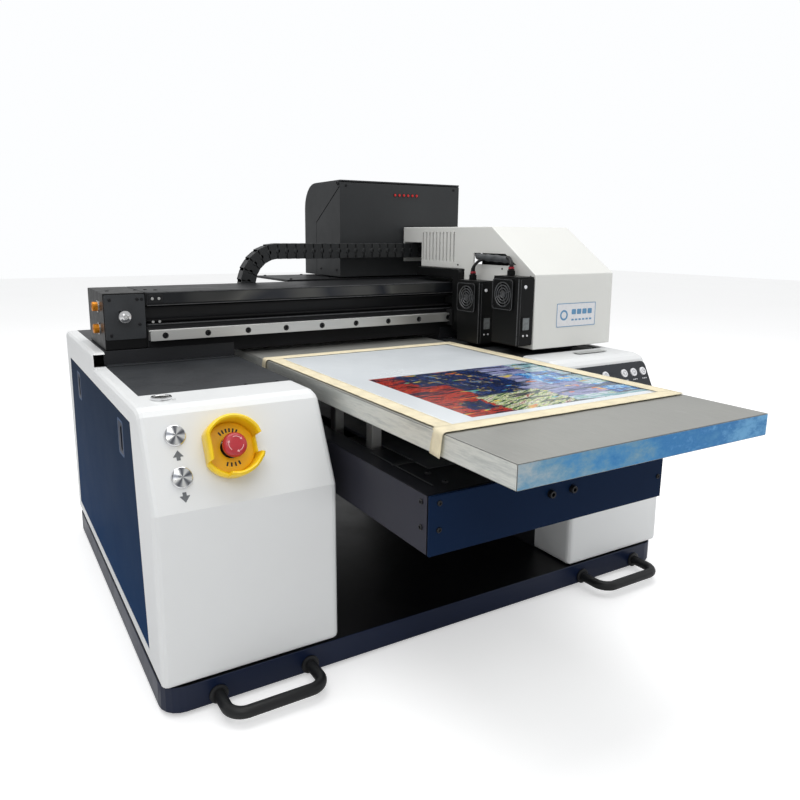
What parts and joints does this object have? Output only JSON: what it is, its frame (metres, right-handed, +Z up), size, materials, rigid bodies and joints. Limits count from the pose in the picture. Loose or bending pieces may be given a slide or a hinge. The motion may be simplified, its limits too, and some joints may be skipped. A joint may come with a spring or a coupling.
{
  "type": "flatbed uv printer",
  "caption": "Compact flatbed UV printer: two side pods on a tray, a gantry with a belt-driven print carriage, a rising and sliding table, a drag chain and an ink cabinet.",
  "frame": {"origin": "on the floor, under the middle of the machine's bounding box at rest (table forward, carriage at the right)", "axes": "+X to the operator's right along the gantry, +Y to the back along the table travel, +Z up"},
  "size_m": [0.755, 0.904, 0.592],
  "materials": {
    "navy_paint": "satin powder coat",
    "blue_paint": "satin powder coat",
    "white_paint": "fine textured powder coat",
    "black_paint": "satin powder coat",
    "dark_grey_paint": "fine textured powder coat",
    "steel": "ground",
    "aluminium_plate": "milled and lightly brushed",
    "chrome": "polished",
    "rubber": "matt",
    "black_plastic": "moulded",
    "gloss_black": "glossy printed membrane",
    "white_plastic": "smooth",
    "yellow_plastic": "smooth",
    "red_plastic": "smooth",
    "paper": "coated sheet",
    "clear_tank": "moulded"
  },
  "bodies": {
    "base": {"base_tray": "navy_paint", "beam_end_left": "black_paint", "beam_end_right": "black_paint", "cabinet_shelf": "black_paint", "chain_lower_run": "black_plastic", "control_strip": "gloss_black", "deck_panel_left": "black_paint", "deck_panel_right": "black_paint", "estop_guard": "yellow_plastic", "foot_fl": "rubber", "foot_fr": "rubber", "foot_rl": "rubber", "foot_rr": "rubber", "gantry_beam": "black_paint", "handle_left": "black_paint", "handle_right": "black_paint", "ink_cabinet": "dark_grey_paint", "ink_tank_rack": "clear_tank", "lift_guide_left": "steel", "lift_guide_right": "steel", "pod_cover_left": "white_paint", "pod_cover_right": "white_paint", "pod_frame_left": "black_paint", "pod_frame_right": "black_paint", "x_belt": "rubber", "x_motor": "black_paint", "x_rail": "steel"},
    "lift": {"lift_housing": "black_paint", "housing_front_plate": "navy_paint", "lift_arm_left": "aluminium_plate", "lift_arm_right": "aluminium_plate"},
    "table": {"table_plate": "aluminium_plate", "table_saddle": "aluminium_plate", "media_sheet": "paper"},
    "table_screw": {"y_screw": "steel"},
    "lift_screw_left": {"z_screw_left": "steel"},
    "lift_screw_right": {"z_screw_right": "steel"},
    "carriage": {"carriage_cover": "white_paint", "carriage_frame": "black_paint", "print_head": "dark_grey_paint", "uv_lamp_front": "black_paint", "uv_lamp_rear": "black_paint"},
    "lamp_fan_front": {"fan_front": "black_plastic"},
    "lamp_fan_rear": {"fan_rear": "black_plastic"},
    "chain": {"chain_loop": "black_plastic"},
    "idler": {"idler_pulley": "chrome"},
    "drive": {"drive_pulley": "chrome"},
    "cap": {"cap_station": "black_plastic"},
    "lid": {"cabinet_lid": "dark_grey_paint"},
    "panel_left": {"side_panel_left": "blue_paint"},
    "panel_right": {"side_panel_right": "blue_paint"},
    "key_up": {"up_button": "chrome"},
    "key_down": {"down_button": "chrome"},
    "key_power": {"power_button": "chrome"},
    "stop_collar": {"estop_collar": "black_plastic"},
    "stop_head": {"estop_head": "red_plastic"},
    "key_1": {"panel_button_1": "white_plastic"},
    "key_2": {"panel_button_2": "white_plastic"},
    "key_3": {"panel_button_3": "white_plastic"},
    "key_4": {"panel_button_4": "white_plastic"}
  },
  "joints": [
    {"name": "lift_z", "type": "slide", "parent": "base", "child": "lift", "axis": [0, 0, 1], "range_m": [-0.15, 0]},
    {"name": "table_y", "type": "slide", "parent": "lift", "child": "table", "axis": [0, 1, 0], "range_m": [0, 0.42]},
    {"name": "carriage_x", "type": "slide", "parent": "base", "child": "carriage", "axis": [1, 0, 0], "range_m": [-0.48, 0]},
    {"name": "chain_roll", "type": "slide", "parent": "base", "child": "chain", "axis": [1, 0, 0], "range_m": [-0.24, 0]},
    {"name": "lift_screw_left_turn", "type": "hinge", "parent": "base", "child": "lift_screw_left", "pos_m": [-0.2225, 0.212, 0.0354], "axis": [0, 0, 1], "range_deg": [-2710, 10]},
    {"name": "lift_screw_right_turn", "type": "hinge", "parent": "base", "child": "lift_screw_right", "pos_m": [0.2405, 0.212, 0.0354], "axis": [0, 0, 1], "range_deg": [-2710, 10]},
    {"name": "table_screw_turn", "type": "hinge", "parent": "lift", "child": "table_screw", "pos_m": [0.009, 0.102, 0.216], "axis": [0, 1, 0], "range_deg": [-10, 3790]},
    {"name": "idler_turn", "type": "hinge", "parent": "base", "child": "idler", "pos_m": [-0.3315, 0.152, 0.3865], "axis": [0, 1, 0], "range_deg": [-3245, 10]},
    {"name": "drive_turn", "type": "hinge", "parent": "base", "child": "drive", "pos_m": [0.3305, 0.152, 0.3865], "axis": [0, 1, 0], "range_deg": [-3245, 10]},
    {"name": "fan_front_spin", "type": "hinge", "parent": "carriage", "child": "lamp_fan_front", "pos_m": [0.1835, -0.032, 0.409], "axis": [1, 0, 0], "continuous": true},
    {"name": "fan_rear_spin", "type": "hinge", "parent": "carriage", "child": "lamp_fan_rear", "pos_m": [0.1835, 0.056, 0.398], "axis": [1, 0, 0], "continuous": true},
    {"name": "cap_lift", "type": "slide", "parent": "base", "child": "cap", "axis": [0, 0, 1], "range_m": [-0.006, 0]},
    {"name": "lid_hinge", "type": "hinge", "parent": "base", "child": "lid", "pos_m": [-0.0005, 0.303, 0.5895], "axis": [1, 0, 0], "range_deg": [0, 75]},
    {"name": "panel_left_tilt", "type": "hinge", "parent": "base", "child": "panel_left", "pos_m": [-0.3755, 0.102, 0.0555], "axis": [0, -1, 0], "range_deg": [0, 20]},
    {"name": "panel_right_tilt", "type": "hinge", "parent": "base", "child": "panel_right", "pos_m": [0.3745, 0.102, 0.0555], "axis": [0, 1, 0], "range_deg": [0, 20]},
    {"name": "up_press", "type": "slide", "parent": "base", "child": "key_up", "axis": [0, 0.8934, -0.4492], "range_m": [0, 0.002]},
    {"name": "down_press", "type": "slide", "parent": "base", "child": "key_down", "axis": [0, 0.8934, -0.4492], "range_m": [0, 0.002]},
    {"name": "power_press", "type": "slide", "parent": "base", "child": "key_power", "axis": [0, 0, -1], "range_m": [0, 0.002]},
    {"name": "stop_press", "type": "slide", "parent": "base", "child": "stop_collar", "axis": [0, 0.8934, -0.4492], "range_m": [0, 0.004]},
    {"name": "stop_twist", "type": "hinge", "parent": "stop_collar", "child": "stop_head", "pos_m": [-0.2885, -0.1574, 0.27492], "axis": [0, -0.8934, 0.4492], "range_deg": [-45, 0]},
    {"name": "key_1_press", "type": "slide", "parent": "base", "child": "key_1", "axis": [0, 0.8934, -0.4492], "range_m": [0, 0.001]},
    {"name": "key_2_press", "type": "slide", "parent": "base", "child": "key_2", "axis": [0, 0.8934, -0.4492], "range_m": [0, 0.001]},
    {"name": "key_3_press", "type": "slide", "parent": "base", "child": "key_3", "axis": [0, 0.8934, -0.4492], "range_m": [0, 0.001]},
    {"name": "key_4_press", "type": "slide", "parent": "base", "child": "key_4", "axis": [0, 0.8934, -0.4492], "range_m": [0, 0.001]}
  ],
  "couplings": [
    {"joint": "chain_roll", "follows": "carriage_x", "ratio": 0.5},
    {"joint": "lift_screw_left_turn", "follows": "lift_z", "rad_per_m": 314.16},
    {"joint": "lift_screw_right_turn", "follows": "lift_z", "rad_per_m": 314.16},
    {"joint": "table_screw_turn", "follows": "table_y", "rad_per_m": 157.08},
    {"joint": "idler_turn", "follows": "carriage_x", "rad_per_m": 117.65},
    {"joint": "drive_turn", "follows": "carriage_x", "rad_per_m": 117.65}
  ]
}
